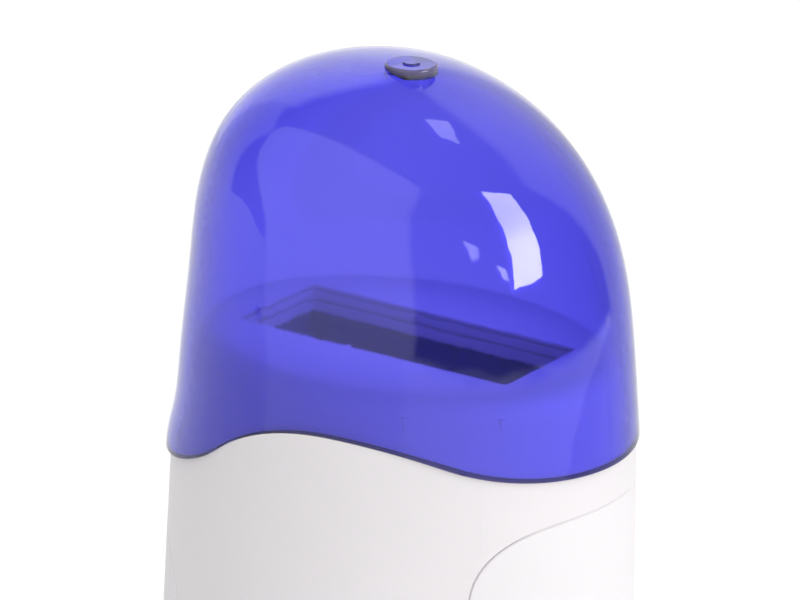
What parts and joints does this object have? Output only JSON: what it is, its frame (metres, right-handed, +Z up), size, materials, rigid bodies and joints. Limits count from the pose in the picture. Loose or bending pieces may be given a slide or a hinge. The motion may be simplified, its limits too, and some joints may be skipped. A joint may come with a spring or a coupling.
{
  "type": "roll-on wax heater",
  "caption": "Hand-held oval wax heater with a domed see-through cap over the slot for a roll-on cartridge, level window and push button.",
  "frame": {"origin": "on the table under the middle of the body, at the bottom of the feet", "axes": "+Z up, X along the cartridge slot with +X towards the end where the cap's dome slopes gently, -Y out of the wide face with the window and the button"},
  "size_m": [0.0836, 0.0719, 0.1894],
  "materials": {
    "cap_clear_violet": "clear tinted moulding, polished",
    "body_white": "white moulding, satin gloss",
    "grip_white": "white moulding, fine matt",
    "well_dark": "dark heat-proof moulding",
    "window_clear": "clear moulding",
    "aluminium": "mill finish",
    "ceramic": "matt",
    "mica": "matt sheet",
    "spring_steel": "bright",
    "component_black": "matt",
    "board_green": "solder resist",
    "lamp_red": "clear red moulding",
    "button_violet": "gloss moulding",
    "pin_brass": "bright",
    "screw_steel": "zinc plated",
    "rubber": "matt"
  },
  "bodies": {
    "body": {"main_housing": "body_white", "right_grip": "grip_white", "left_grip": "grip_white", "level_window": "window_clear", "cartridge_well": "well_dark", "front_heat_plate": "aluminium", "back_heat_plate": "aluminium", "heating_element": "ceramic", "insulation_sheet": "mica", "clamp_spring": "spring_steel", "thermostat": "component_black", "thermal_fuse": "component_black", "circuit_board": "board_green", "indicator_led": "lamp_red", "indicator_lens": "lamp_red", "switch_body": "component_black", "button_spring": "spring_steel", "inlet_socket": "component_black", "inlet_pins": "pin_brass", "base_cover": "body_white", "rubber_feet": "rubber", "base_screws": "screw_steel", "well_screws": "screw_steel", "board_screws": "screw_steel"},
    "cap": {"cap": "cap_clear_violet"},
    "button": {"power_button": "button_violet", "switch_plunger": "component_black"}
  },
  "joints": [
    {"name": "cap_lift", "type": "slide", "parent": "body", "child": "cap", "axis": [0, 0, 1], "range_m": [0, 0.06]},
    {"name": "power_button_press", "type": "slide", "parent": "body", "child": "button", "axis": [0, 1, 0], "range_m": [0, 0.0015], "stiffness_N_per_m": 800, "springref_m": -0.002, "deforming": ["button_spring"]}
  ]
}
